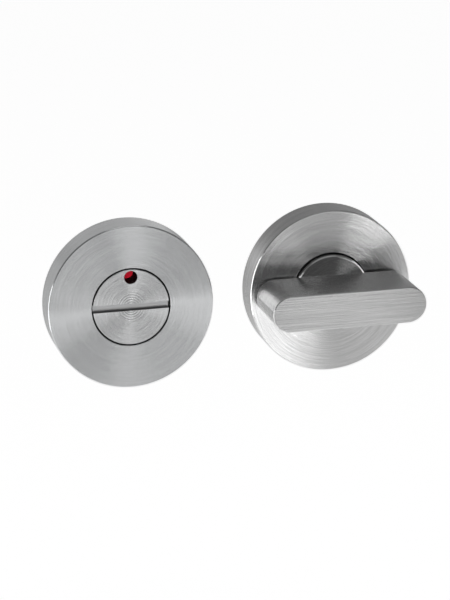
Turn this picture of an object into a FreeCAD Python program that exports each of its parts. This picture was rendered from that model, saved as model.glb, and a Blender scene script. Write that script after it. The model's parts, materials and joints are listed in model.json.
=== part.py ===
"""Bathroom thumb turn set: an inside thumb turn and an outside coin release with a red and green indicator.

Both halves are modelled side by side on one door plane. Each is a hollow steel rose that snaps over a
moulded mounting plate, with a turned steel disc that runs in a bush through the plate. The inside disc
carries a long thumb bar and drives the square spindle. The outside disc has a coin slot, a window over the
indicator ring, and the socket that takes the spindle's far end.

Every piece is drawn in the frame of its own half, in millimetres: x to the right and y up along the door,
z out of the door towards the user, and z = 0 on the door's face. place() then stands it in the common frame,
where +Z is up, the halves face -Y, and the origin is on the door plane, on the axis of the thumb turn.
"""

import FreeCAD, Part
import math
import os

V = FreeCAD.Vector

# Driving dimensions of the two roses
ROSE_DIAMETER = 52.0
ROSE_DEPTH = 10.0
ROSE_WALL = 1.5
ROSE_FACE = 1.5
ROSE_EDGE = 0.4
HOLE_EDGE = 0.15
PAIR_SPACING = 64.0

# Turned discs: the collar of the thumb turn and the coin disc of the release
DISC_DIAMETER = 23.9
DISC_GAP = 0.5
COLLAR_PROUD = 1.8
COLLAR_EDGE = 0.7
COIN_EDGE = 0.15
TURN_ANGLE = 90.0

# Thumb bar, a stadium-shaped bar that stands on the collar, and its fixings
BAR_LENGTH = 49.0
BAR_THICKNESS = 11.4
BAR_DEPTH = 19.7
BAR_EDGE = 0.3
BAR_SCREW_DIAMETER = 3.0
BAR_SCREW_BITE = 8.0
BAR_SCREW_HEAD_DIAMETER = 5.5
BAR_SCREW_HEAD_HEIGHT = 3.0
BAR_SCREW_KEY = 2.5
DOWEL_DIAMETER = 3.0
DOWEL_LENGTH = 10.0
DOWEL_SPACING = 16.0

# Coin slot and indicator window
SLOT_WIDTH = 2.3
SLOT_DEPTH = 1.5
WINDOW_DIAMETER = 4.2
WINDOW_RIM = 0.35
RING_THICKNESS = 0.8

# Square spindle and the stems that hold it
SPINDLE_SIDE = 6.0
SPINDLE_REACH = 48.0
SPINDLE_EDGE = 0.4
SOCKET_ABOVE_DOOR = 4.0
STEM_WALL = 1.2
STEM_TAIL = 5.0
SHOULDER_WIDTH = 1.3
GRUB_DIAMETER = 3.0
GRUB_KEY = 1.5

# Flanged bush, conical spring washer and retaining ring
BUSH_WALL = 1.5
BUSH_FLANGE_WIDTH = 1.5
BUSH_FLANGE_THICKNESS = 1.0
WASHER_WIDTH = 3.2
WASHER_THICKNESS = 0.4
WASHER_ROOM = 0.9
CIRCLIP_THICKNESS = 1.0
CIRCLIP_GROOVE = 0.25
CIRCLIP_WIDTH = 1.8
CIRCLIP_LUG = 1.5
CIRCLIP_EYE = 1.3
CIRCLIP_GAP = 2.4

# Stop pin, pressed in the plate, that limits the turn to TURN_ANGLE each way
STOP_PIN_DIAMETER = 2.0
STOP_PIN_FLOOR = 0.5
STOP_PIN_RIM = 0.2
STOP_NOTCH_DEPTH = 2.0

# Moulded mounting plate
WELL_FLOOR = 2.4
WELL_WALL = 1.5
HUB_DIAMETER = 22.0
HUB_LENGTH = 4.0
PLATE_RIM = 1.4
RIB_THICKNESS = 1.4
RIB_TOP = 6.0
RIB_ANGLES = (30, 60, 120, 150, 210, 240, 300, 330)
SNAP_ANGLES = (90, 210, 330)
SNAP_SPAN = 24.0
SNAP_SLIT = 1.2
SNAP_HEIGHT = 1.4
SNAP_DEPTH = 0.6
SNAP_LEVEL = 3.0

# Bolt-through fixings, set in from the plate's edge
BOLT_INSET = 5.2
BOLT_HOLE_DIAMETER = 4.4
BOLT_HEAD_DIAMETER = 8.4
BOSS_WALL = 1.4
BOSS_FLOOR = 2.8
LUG_DIAMETER = 7.4
LUG_LENGTH = 5.0
SLEEVE_THREAD_DIAMETER = 3.3
SLEEVE_DIAMETER = 7.0
SLEEVE_REACH = 7.0
SLEEVE_FLANGE_THICKNESS = 1.2

# Bevels that lead one piece into another
ROSE_MOUTH_BEVEL = 0.4
STEM_BEVEL = 0.5
BUSH_BEVEL = 0.3
STOP_PIN_BEVEL = 0.3
DOWEL_BEVEL = 0.4
SCREW_BEVEL = 0.4
LUG_BEVEL = 0.6
SLEEVE_BEVEL = 0.5

# Clearances
FIT = 0.03
RUNNING = 0.05
SPINDLE_PLAY = 0.05
RING_PLAY = 0.2
PLATE_PLAY = 0.3
STOP_PLAY = 0.15

# Values worked out from the driving dimensions
ROSE_RADIUS = ROSE_DIAMETER / 2
ROSE_INSIDE = ROSE_RADIUS - ROSE_WALL
ROSE_CEILING = ROSE_DEPTH - ROSE_FACE
DISC_RADIUS = DISC_DIAMETER / 2
HOLE_RADIUS = DISC_RADIUS + DISC_GAP
RING_TOP = WELL_FLOOR + RING_THICKNESS
DISC_BACK = RING_TOP + RING_PLAY
COLLAR_FACE = ROSE_DEPTH + COLLAR_PROUD
WINDOW_RADIUS = WINDOW_DIAMETER / 2
WINDOW_CENTRE = DISC_RADIUS - WINDOW_RIM - WINDOW_RADIUS
SOCKET_SIDE = SPINDLE_SIDE + 2 * SPINDLE_PLAY
STEM_RADIUS = SOCKET_SIDE / math.sqrt(2) + STEM_WALL
SHOULDER_RADIUS = STEM_RADIUS + SHOULDER_WIDTH
HUB_END = -HUB_LENGTH
CIRCLIP_FRONT = HUB_END - WASHER_ROOM
CIRCLIP_BACK = CIRCLIP_FRONT - CIRCLIP_THICKNESS
STEM_END = CIRCLIP_BACK - STEM_TAIL
GROOVE_RADIUS = STEM_RADIUS - CIRCLIP_GROOVE
GRUB_LEVEL = (CIRCLIP_BACK + STEM_END) / 2
BUSH_INSIDE = STEM_RADIUS + RUNNING
BUSH_OUTSIDE = BUSH_INSIDE + BUSH_WALL
BUSH_FLANGE_RADIUS = BUSH_OUTSIDE + BUSH_FLANGE_WIDTH
BUSH_FLANGE_BACK = WELL_FLOOR - BUSH_FLANGE_THICKNESS
HUB_RADIUS = HUB_DIAMETER / 2
PLATE_RADIUS = ROSE_INSIDE - PLATE_PLAY
PLATE_TOP = ROSE_CEILING - PLATE_PLAY
STOP_PIN_RADIUS = STOP_PIN_DIAMETER / 2
STOP_PIN_ORBIT = DISC_RADIUS - STOP_PIN_RIM - STOP_PIN_RADIUS
STOP_HALF_ANGLE = math.degrees(math.asin((STOP_PIN_RADIUS + STOP_PLAY) / STOP_PIN_ORBIT))
NOTCH_TOP = DISC_BACK + STOP_NOTCH_DEPTH
STOP_ANGLE = -90.0
BOSS_RADIUS = BOLT_HEAD_DIAMETER / 2 + BOSS_WALL
BOLT_CENTRES = 2 * (PLATE_RADIUS - BOLT_INSET)
BOLT_OFFSETS = (-BOLT_CENTRES / 2, BOLT_CENTRES / 2)
BAR_SCREW_SEAT = SOCKET_ABOVE_DOOR + BAR_SCREW_HEAD_HEIGHT + 2 * SPINDLE_PLAY
THROUGH = 1.0

TURN_X = 0.0
RELEASE_X = TURN_X - PAIR_SPACING


def cylinder(radius, bottom, top, x=0.0, y=0.0):
    """A cylinder along z, from bottom to top, about the point x, y."""
    return Part.makeCylinder(radius, top - bottom, V(x, y, bottom))


def tube(outside, inside, bottom, top):
    """A plain ring about the z axis."""
    return cylinder(outside, bottom, top).cut(cylinder(inside, bottom - THROUGH, top + THROUGH))


def square_bar(side, bottom, top):
    """A square prism centred on the z axis."""
    return Part.makeBox(side, side, top - bottom, V(-side / 2, -side / 2, bottom))


def revolve(points):
    """A solid of revolution about z from a closed outline of (radius, height) points."""
    outline = [V(radius, 0, height) for radius, height in points]
    face = Part.Face(Part.makePolygon(outline + outline[:1]))
    return face.revolve(V(0, 0, 0), V(0, 0, 1), 360)


def sector(radius, bottom, top, start, span):
    """A pie slice about z that begins at the angle start and runs anticlockwise for span degrees."""
    return Part.makeCylinder(radius, top - bottom, V(0, 0, bottom), V(0, 0, 1), span).rotate(
        V(0, 0, 0), V(0, 0, 1), start
    )


def hexagon_prism(across_flats, bottom, top):
    """A hexagonal prism on the z axis, for a key socket."""
    corner = across_flats / math.sqrt(3)
    points = [
        V(corner * math.cos(math.radians(60 * i)), corner * math.sin(math.radians(60 * i)), bottom)
        for i in range(6)
    ]
    return Part.Face(Part.makePolygon(points + points[:1])).extrude(V(0, 0, top - bottom))


def turned(shape, angle):
    """A copy of a shape turned about the z axis."""
    copy = shape.copy()
    copy.rotate(V(0, 0, 0), V(0, 0, 1), angle)
    return copy


def polar(radius, angle):
    """The x and y of a point at a radius and an angle in degrees."""
    return radius * math.cos(math.radians(angle)), radius * math.sin(math.radians(angle))


def flat_edges(shape, height):
    """Every edge of a shape that lies wholly in the plane z = height."""
    return [
        edge
        for edge in shape.Edges
        if abs(edge.BoundBox.ZMin - height) < 1e-6 and abs(edge.BoundBox.ZMax - height) < 1e-6
    ]


def rounded_edges(shape, height, radius):
    """Rounds the edges of a shape in the plane z = height."""
    return shape.makeFillet(radius, flat_edges(shape, height))


def bevelled_edges(shape, height, width):
    """Bevels the edges of a shape in the plane z = height."""
    return shape.makeChamfer(width, flat_edges(shape, height))


def rose_cover():
    """Hollow steel rose with a softened front edge, a central hole and an inner groove for the snaps."""
    groove = ROSE_INSIDE - PLATE_PLAY + SNAP_DEPTH + PLATE_PLAY / 2
    low = SNAP_LEVEL - SNAP_HEIGHT / 2 - PLATE_PLAY / 2
    high = SNAP_LEVEL + SNAP_HEIGHT / 2 + PLATE_PLAY / 2
    ramp = groove - ROSE_INSIDE
    cover = revolve(
        [
            (ROSE_INSIDE, ROSE_MOUTH_BEVEL),
            (ROSE_INSIDE + ROSE_MOUTH_BEVEL, 0),
            (ROSE_RADIUS, 0),
            (ROSE_RADIUS, ROSE_DEPTH),
            (HOLE_RADIUS + HOLE_EDGE, ROSE_DEPTH),
            (HOLE_RADIUS, ROSE_DEPTH - HOLE_EDGE),
            (HOLE_RADIUS, ROSE_CEILING),
            (ROSE_INSIDE, ROSE_CEILING),
            (ROSE_INSIDE, high + ramp),
            (groove, high),
            (groove, low),
            (ROSE_INSIDE, low - ramp),
        ]
    )
    rim = [edge for edge in flat_edges(cover, ROSE_DEPTH) if edge.BoundBox.XMax > ROSE_INSIDE]
    return cover.makeFillet(ROSE_EDGE, rim)


def snap_nubs():
    """Three low ridges on the plate's rim that click into the groove of the rose."""
    low = SNAP_LEVEL - SNAP_HEIGHT / 2
    high = SNAP_LEVEL + SNAP_HEIGHT / 2
    crest = PLATE_RADIUS + SNAP_DEPTH
    ridge = revolve(
        [
            (PLATE_RADIUS - PLATE_RIM, low - SNAP_DEPTH),
            (PLATE_RADIUS, low - SNAP_DEPTH),
            (crest, low),
            (crest, high),
            (PLATE_RADIUS, high + SNAP_DEPTH),
            (PLATE_RADIUS - PLATE_RIM, high + SNAP_DEPTH),
        ]
    )
    slices = [
        sector(ROSE_RADIUS, 0, PLATE_TOP, angle - SNAP_SPAN / 2, SNAP_SPAN) for angle in SNAP_ANGLES
    ]
    return [ridge.common(piece) for piece in slices]


def snap_slits():
    """Radial slits beside each snap, which free a springy tongue of the rim."""
    reach = PLATE_RIM + 2 * THROUGH
    slit = Part.makeBox(
        reach, SNAP_SLIT, PLATE_TOP, V(PLATE_RADIUS - PLATE_RIM - THROUGH / 2, -SNAP_SLIT / 2, WELL_FLOOR)
    )
    side = SNAP_SPAN / 2 + math.degrees(SNAP_SLIT / PLATE_RADIUS)
    return [turned(slit, angle + sign * side) for angle in SNAP_ANGLES for sign in (-1, 1)]


def plate_blank():
    """The plate's dish: floor, hub, well wall, rim, ribs and snaps, before the fixing holes are made."""
    well_outside = HOLE_RADIUS + WELL_WALL
    rib_length = PLATE_RADIUS - PLATE_RIM / 2 - (HOLE_RADIUS + WELL_WALL / 2)
    rib = Part.makeBox(
        rib_length, RIB_THICKNESS, RIB_TOP, V(HOLE_RADIUS + WELL_WALL / 2, -RIB_THICKNESS / 2, 0)
    )
    solids = [
        cylinder(HUB_RADIUS, HUB_END, WELL_FLOOR),
        tube(well_outside, HOLE_RADIUS, 0, PLATE_TOP),
        tube(PLATE_RADIUS, PLATE_RADIUS - PLATE_RIM, 0, PLATE_TOP),
    ]
    solids += [turned(rib, angle) for angle in RIB_ANGLES]
    solids += snap_nubs()
    blank = cylinder(PLATE_RADIUS, 0, WELL_FLOOR).multiFuse(solids)
    bores = [
        cylinder(BUSH_OUTSIDE + FIT, HUB_END - THROUGH, WELL_FLOOR + THROUGH),
        cylinder(BUSH_FLANGE_RADIUS + FIT, BUSH_FLANGE_BACK, WELL_FLOOR + THROUGH),
    ]
    return blank.cut(bores + snap_slits())


def stop_pin_hole():
    """The blind hole in the plate that holds the stop pin."""
    x, y = polar(STOP_PIN_ORBIT, STOP_ANGLE)
    return cylinder(STOP_PIN_RADIUS + FIT, STOP_PIN_FLOOR, WELL_FLOOR + THROUGH, x, y)


def bosses(height):
    """Two round bosses for the fixings, trimmed to the outline of the plate."""
    outline = tube(PLATE_RADIUS, HOLE_RADIUS, 0, height)
    return [cylinder(BOSS_RADIUS, 0, height, x).common(outline) for x in BOLT_OFFSETS]


def turn_mounting_plate():
    """Plate of the thumb turn: lugs behind it enter the door, and bolt heads sink in its bosses."""
    lugs = [
        bevelled_edges(cylinder(LUG_DIAMETER / 2, -LUG_LENGTH, BOSS_FLOOR, x), -LUG_LENGTH, LUG_BEVEL)
        for x in BOLT_OFFSETS
    ]
    plate = plate_blank().multiFuse(bosses(RIB_TOP) + lugs)
    holes = [stop_pin_hole()]
    for x in BOLT_OFFSETS:
        holes.append(cylinder(BOLT_HOLE_DIAMETER / 2, -LUG_LENGTH - THROUGH, RIB_TOP + THROUGH, x))
        holes.append(cylinder(BOLT_HEAD_DIAMETER / 2, BOSS_FLOOR, RIB_TOP + THROUGH, x))
    return plate.cut(holes).removeSplitter()


def release_mounting_plate():
    """Plate of the release: its bosses hold the threaded sleeves that the bolts screw into."""
    plate = plate_blank().multiFuse(bosses(RIB_TOP))
    holes = [stop_pin_hole()]
    for x in BOLT_OFFSETS:
        holes.append(cylinder(SLEEVE_DIAMETER / 2 + FIT, -THROUGH, RIB_TOP + THROUGH, x))
        holes.append(cylinder(BOLT_HEAD_DIAMETER / 2 + FIT, BOSS_FLOOR, RIB_TOP + THROUGH, x))
    return plate.cut(holes).removeSplitter()


def threaded_sleeves():
    """Two flanged steel sleeves that reach into the door and take the bolts."""
    sleeves = []
    for x in BOLT_OFFSETS:
        body = cylinder(SLEEVE_DIAMETER / 2, -SLEEVE_REACH, BOSS_FLOOR, x)
        body = bevelled_edges(body, -SLEEVE_REACH, SLEEVE_BEVEL)
        flange = cylinder(BOLT_HEAD_DIAMETER / 2, BOSS_FLOOR, BOSS_FLOOR + SLEEVE_FLANGE_THICKNESS, x)
        bore = cylinder(
            SLEEVE_THREAD_DIAMETER / 2,
            -SLEEVE_REACH - THROUGH,
            BOSS_FLOOR + SLEEVE_FLANGE_THICKNESS + THROUGH,
            x,
        )
        sleeves.append(body.fuse(flange).cut(bore).removeSplitter())
    return Part.makeCompound(sleeves)


def disc_with_stem(face, edge):
    """Turned disc with a shoulder and a stem, grooved for the retaining ring and notched for the stop."""
    blank = revolve(
        [
            (0, STEM_END),
            (STEM_RADIUS - STEM_BEVEL, STEM_END),
            (STEM_RADIUS, STEM_END + STEM_BEVEL),
            (STEM_RADIUS, CIRCLIP_BACK - RUNNING),
            (GROOVE_RADIUS, CIRCLIP_BACK - RUNNING),
            (GROOVE_RADIUS, CIRCLIP_FRONT + RUNNING),
            (STEM_RADIUS, CIRCLIP_FRONT + RUNNING),
            (STEM_RADIUS, WELL_FLOOR + RUNNING),
            (SHOULDER_RADIUS, WELL_FLOOR + RUNNING),
            (SHOULDER_RADIUS, DISC_BACK),
            (DISC_RADIUS, DISC_BACK),
            (DISC_RADIUS, face),
            (0, face),
        ]
    )
    blank = rounded_edges(blank, face, edge)
    socket = square_bar(SOCKET_SIDE, STEM_END - THROUGH, SOCKET_ABOVE_DOOR)
    half_span = TURN_ANGLE + STOP_HALF_ANGLE
    notch = sector(HOLE_RADIUS, DISC_BACK - THROUGH, NOTCH_TOP, STOP_ANGLE - half_span, 2 * half_span)
    inner = STOP_PIN_ORBIT - STOP_PIN_RADIUS - STOP_PLAY
    return blank.cut([socket, socket_mouth(), notch.cut(cylinder(inner, DISC_BACK - THROUGH, NOTCH_TOP))])


def socket_mouth():
    """A countersink that leads the spindle into the square socket."""
    corner, flat = SOCKET_SIDE / math.sqrt(2), SOCKET_SIDE / 2
    depth = corner - flat
    return Part.makeCone(corner + THROUGH, flat, depth + THROUGH, V(0, 0, STEM_END - THROUGH))


def turn_collar():
    """Collar of the thumb turn, bored for the screw and the dowels that hold the bar."""
    holes = [
        cylinder(BAR_SCREW_HEAD_DIAMETER / 2 + SPINDLE_PLAY, SOCKET_ABOVE_DOOR - THROUGH, BAR_SCREW_SEAT),
        cylinder(BAR_SCREW_DIAMETER / 2 + FIT, SOCKET_ABOVE_DOOR, COLLAR_FACE + THROUGH),
        grub_hole(),
    ]
    return disc_with_stem(COLLAR_FACE, COLLAR_EDGE).cut(holes + dowel_holes())


def dowel_holes():
    """Blind holes for the two dowels, half in the collar and half in the bar."""
    half = DOWEL_LENGTH / 2 + FIT
    return [
        cylinder(DOWEL_DIAMETER / 2 + FIT, COLLAR_FACE - half, COLLAR_FACE + half, x)
        for x in (-DOWEL_SPACING / 2, DOWEL_SPACING / 2)
    ]


def thumb_bar():
    """Long bar with half-round ends that the thumb and finger turn, square to the door."""
    radius = BAR_THICKNESS / 2
    half = BAR_LENGTH / 2 - radius
    left, right = V(-half, 0, COLLAR_FACE), V(half, 0, COLLAR_FACE)
    up, out = V(0, radius, 0), V(radius, 0, 0)
    outline = Part.Wire(
        [
            Part.LineSegment(left - up, right - up).toShape(),
            Part.Arc(right - up, right + out, right + up).toShape(),
            Part.LineSegment(right + up, left + up).toShape(),
            Part.Arc(left + up, left - out, left - up).toShape(),
        ]
    )
    bar = Part.Face(outline).extrude(V(0, 0, BAR_DEPTH))
    bar = rounded_edges(bar, COLLAR_FACE + BAR_DEPTH, BAR_EDGE)
    bar = rounded_edges(bar, COLLAR_FACE, BAR_EDGE)
    depth = BAR_SCREW_BITE + BAR_SCREW_DIAMETER / 2
    tapped = cylinder(BAR_SCREW_DIAMETER / 2 + FIT, COLLAR_FACE - THROUGH, COLLAR_FACE + depth)
    return bar.cut([tapped] + dowel_holes())


def bar_screw():
    """Cap screw through the floor of the collar's socket into the bar."""
    head = cylinder(BAR_SCREW_HEAD_DIAMETER / 2, BAR_SCREW_SEAT - BAR_SCREW_HEAD_HEIGHT, BAR_SCREW_SEAT)
    shank = cylinder(BAR_SCREW_DIAMETER / 2, BAR_SCREW_SEAT, COLLAR_FACE + BAR_SCREW_BITE)
    shank = bevelled_edges(shank, COLLAR_FACE + BAR_SCREW_BITE, SCREW_BEVEL)
    bottom = BAR_SCREW_SEAT - BAR_SCREW_HEAD_HEIGHT
    head = bevelled_edges(head, bottom, SCREW_BEVEL)
    key = hexagon_prism(BAR_SCREW_KEY, bottom - THROUGH, bottom + BAR_SCREW_HEAD_HEIGHT / 2)
    return head.fuse(shank).cut(key).removeSplitter()


def bar_dowels():
    """Two dowels that carry the torque between bar and collar."""
    low, high = COLLAR_FACE - DOWEL_LENGTH / 2, COLLAR_FACE + DOWEL_LENGTH / 2
    dowel = cylinder(DOWEL_DIAMETER / 2, low, high)
    dowel = bevelled_edges(bevelled_edges(dowel, low, DOWEL_BEVEL), high, DOWEL_BEVEL)
    return Part.makeCompound(
        [dowel.translated(V(x, 0, 0)) for x in (-DOWEL_SPACING / 2, DOWEL_SPACING / 2)]
    )


def spindle():
    """Square spindle with bevelled ends, from the collar's socket through the door."""
    front = SOCKET_ABOVE_DOOR - 2 * SPINDLE_PLAY
    bar = square_bar(SPINDLE_SIDE, -SPINDLE_REACH, front)
    bar = bevelled_edges(bar, -SPINDLE_REACH, SPINDLE_EDGE)
    return bevelled_edges(bar, front, SPINDLE_EDGE)


def grub_hole():
    """Tapped cross hole in the stem for the spindle's grub screw, opening downwards."""
    hole = cylinder(GRUB_DIAMETER / 2 + FIT, 0, STEM_RADIUS + THROUGH)
    hole.rotate(V(0, 0, 0), V(1, 0, 0), 90)
    hole.translate(V(0, 0, GRUB_LEVEL))
    return hole


def spindle_grub_screw():
    """Grub screw with a key socket that holds the spindle in the stem."""
    start = SPINDLE_SIDE / 2 + FIT
    end = STEM_RADIUS - CIRCLIP_GROOVE
    screw = bevelled_edges(cylinder(GRUB_DIAMETER / 2, start, end), start, SCREW_BEVEL)
    screw = screw.cut(hexagon_prism(GRUB_KEY, (start + end) / 2, end + THROUGH))
    screw.rotate(V(0, 0, 0), V(1, 0, 0), 90)
    screw.translate(V(0, 0, GRUB_LEVEL))
    return screw


def release_disc():
    """Coin disc with a slot across its face and a window through to the indicator ring."""
    slot = Part.makeBox(
        2 * HOLE_RADIUS,
        SLOT_WIDTH,
        SLOT_DEPTH + THROUGH,
        V(-HOLE_RADIUS, -SLOT_WIDTH / 2, ROSE_DEPTH - SLOT_DEPTH),
    )
    window = cylinder(WINDOW_RADIUS, DISC_BACK - THROUGH, ROSE_DEPTH + THROUGH, 0, WINDOW_CENTRE)
    return disc_with_stem(ROSE_DEPTH, COIN_EDGE).cut([slot, window])


def indicator_ring():
    """Coloured ring in the floor of the release's well, held from turning by the stop pin."""
    ring = tube(HOLE_RADIUS - RING_PLAY, SHOULDER_RADIUS + RING_PLAY, WELL_FLOOR, RING_TOP)
    x, y = polar(STOP_PIN_ORBIT, STOP_ANGLE)
    key = cylinder(STOP_PIN_RADIUS + STOP_PLAY, WELL_FLOOR - THROUGH, RING_TOP + THROUGH, x, y)
    return ring.cut(key)


def stop_pin():
    """Pin in the plate that the ends of the disc's notch run up against."""
    x, y = polar(STOP_PIN_ORBIT, STOP_ANGLE)
    top = NOTCH_TOP - 2 * STOP_PLAY
    return bevelled_edges(cylinder(STOP_PIN_RADIUS, STOP_PIN_FLOOR + FIT, top, x, y), top, STOP_PIN_BEVEL)


def bush():
    """Flanged plastic bush that the stem runs in."""
    return revolve(
        [
            (BUSH_INSIDE, HUB_END + BUSH_BEVEL),
            (BUSH_INSIDE + BUSH_BEVEL, HUB_END),
            (BUSH_OUTSIDE - BUSH_BEVEL, HUB_END),
            (BUSH_OUTSIDE, HUB_END + BUSH_BEVEL),
            (BUSH_OUTSIDE, BUSH_FLANGE_BACK + FIT),
            (BUSH_FLANGE_RADIUS, BUSH_FLANGE_BACK + FIT),
            (BUSH_FLANGE_RADIUS, WELL_FLOOR),
            (BUSH_INSIDE + BUSH_BEVEL, WELL_FLOOR),
            (BUSH_INSIDE, WELL_FLOOR - BUSH_BEVEL),
        ]
    )


def spring_washer():
    """Conical spring washer between the hub and the retaining ring, which gives the turn its drag."""
    inside = STEM_RADIUS + RING_PLAY
    outside = inside + WASHER_WIDTH
    front = HUB_END - RUNNING
    back = CIRCLIP_FRONT + RUNNING
    return revolve(
        [
            (inside, back),
            (outside, front - WASHER_THICKNESS),
            (outside, front),
            (inside, back + WASHER_THICKNESS),
        ]
    )


def circlip():
    """Retaining ring for the stem: a band that thins towards its gap, with a pair of eyed lugs."""
    inside = GROOVE_RADIUS + FIT
    offset = CIRCLIP_WIDTH / 4
    band_radius = inside + CIRCLIP_WIDTH - offset
    lug_orbit = inside + CIRCLIP_LUG
    lug_side = CIRCLIP_GAP / 2 + CIRCLIP_LUG
    ring = cylinder(band_radius, CIRCLIP_BACK, CIRCLIP_FRONT, 0, offset)
    lugs = [
        cylinder(CIRCLIP_LUG, CIRCLIP_BACK, CIRCLIP_FRONT, side, -lug_orbit) for side in (-lug_side, lug_side)
    ]
    eyes = [
        cylinder(CIRCLIP_EYE / 2, CIRCLIP_BACK - THROUGH, CIRCLIP_FRONT + THROUGH, side, -lug_orbit)
        for side in (-lug_side, lug_side)
    ]
    gap = Part.makeBox(
        CIRCLIP_GAP,
        2 * lug_orbit,
        CIRCLIP_THICKNESS + 2 * THROUGH,
        V(-CIRCLIP_GAP / 2, -2 * lug_orbit, CIRCLIP_BACK - THROUGH),
    )
    bore = cylinder(inside, CIRCLIP_BACK - THROUGH, CIRCLIP_FRONT + THROUGH)
    return ring.multiFuse(lugs).cut([bore, gap] + eyes).removeSplitter()


def place(shape, centre_x):
    """Stands a piece of one half on the door plane, facing -Y, with its axis at centre_x."""
    placed = shape.copy()
    placed.rotate(V(0, 0, 0), V(1, 0, 0), 90)
    placed.translate(V(centre_x, 0, 0))
    return placed


def turn_half():
    """Every piece of the inside half, by name."""
    return {
        "turn_rose_cover": rose_cover(),
        "turn_mounting_plate": turn_mounting_plate(),
        "turn_bush": bush(),
        "turn_stop_pin": stop_pin(),
        "turn_spring_washer": spring_washer(),
        "turn_circlip": circlip(),
        "turn_collar": turn_collar(),
        "thumb_bar": thumb_bar(),
        "bar_screw": bar_screw(),
        "bar_dowels": bar_dowels(),
        "spindle": spindle(),
        "spindle_grub_screw": spindle_grub_screw(),
    }


def release_half():
    """Every piece of the outside half, by name."""
    return {
        "release_rose_cover": rose_cover(),
        "release_mounting_plate": release_mounting_plate(),
        "threaded_sleeves": threaded_sleeves(),
        "release_bush": bush(),
        "release_stop_pin": stop_pin(),
        "indicator_ring": indicator_ring(),
        "release_spring_washer": spring_washer(),
        "release_circlip": circlip(),
        "release_disc": release_disc(),
    }


def main():
    """Builds both halves and writes one STEP file for each piece."""
    os.makedirs("parts", exist_ok=True)
    for pieces, centre_x in ((turn_half(), TURN_X), (release_half(), RELEASE_X)):
        for name, shape in pieces.items():
            place(shape, centre_x).exportStep(f"parts/{name}.step")


main()
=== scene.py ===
"""Looks of a bathroom thumb turn set: brushed steel roses, a coin disc with an indicator, and a thumb bar.

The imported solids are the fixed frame. The steel pieces that show are drawn again with finer curves, in
millimetres, about the axis of their own half: x to the right, y up along the door and z out of the door.
The brushed finishes need that frame too, because their marks run round a piece's own z axis, or along its
x axis on the bar.
"""

import json
import logging
import math
from dataclasses import dataclass, field, replace
from enum import Enum, IntEnum
from typing import Any, Optional, Sequence, Union

import bpy
from mathutils import Matrix, Vector

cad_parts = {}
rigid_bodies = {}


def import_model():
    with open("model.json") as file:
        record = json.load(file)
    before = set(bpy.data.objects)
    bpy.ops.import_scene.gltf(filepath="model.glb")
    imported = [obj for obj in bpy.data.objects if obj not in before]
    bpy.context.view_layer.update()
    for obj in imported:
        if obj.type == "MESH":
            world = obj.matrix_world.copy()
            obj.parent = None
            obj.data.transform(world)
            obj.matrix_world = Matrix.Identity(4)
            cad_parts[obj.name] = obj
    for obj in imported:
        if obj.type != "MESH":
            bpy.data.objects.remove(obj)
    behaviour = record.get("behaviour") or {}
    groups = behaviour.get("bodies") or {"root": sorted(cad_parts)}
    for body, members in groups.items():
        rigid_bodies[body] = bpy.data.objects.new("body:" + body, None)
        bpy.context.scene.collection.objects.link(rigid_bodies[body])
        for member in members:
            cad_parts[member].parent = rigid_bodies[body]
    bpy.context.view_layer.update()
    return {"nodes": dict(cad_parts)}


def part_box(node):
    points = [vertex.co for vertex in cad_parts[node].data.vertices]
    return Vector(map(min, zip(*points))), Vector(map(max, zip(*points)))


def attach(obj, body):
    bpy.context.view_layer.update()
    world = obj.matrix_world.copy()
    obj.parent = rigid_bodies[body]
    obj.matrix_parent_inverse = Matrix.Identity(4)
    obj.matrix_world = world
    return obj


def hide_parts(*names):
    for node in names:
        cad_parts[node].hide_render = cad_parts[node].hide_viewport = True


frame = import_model()
MM = 0.001
FULL_TURN = 360.0
QUARTER_ROTATION = 0.25
NOISE_MIDDLE = 0.5
SMOOTH_ANGLE = math.radians(32)
SHARP_ANGLE = math.radians(40)
STAND_UP = Matrix.Rotation(math.radians(90), 4, "X")

Point = tuple[float, float]
Corner = tuple[float, float, float]
Colour = tuple[float, float, float]
Key = Union[str, int]
log = logging.getLogger("turn_set")


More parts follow.
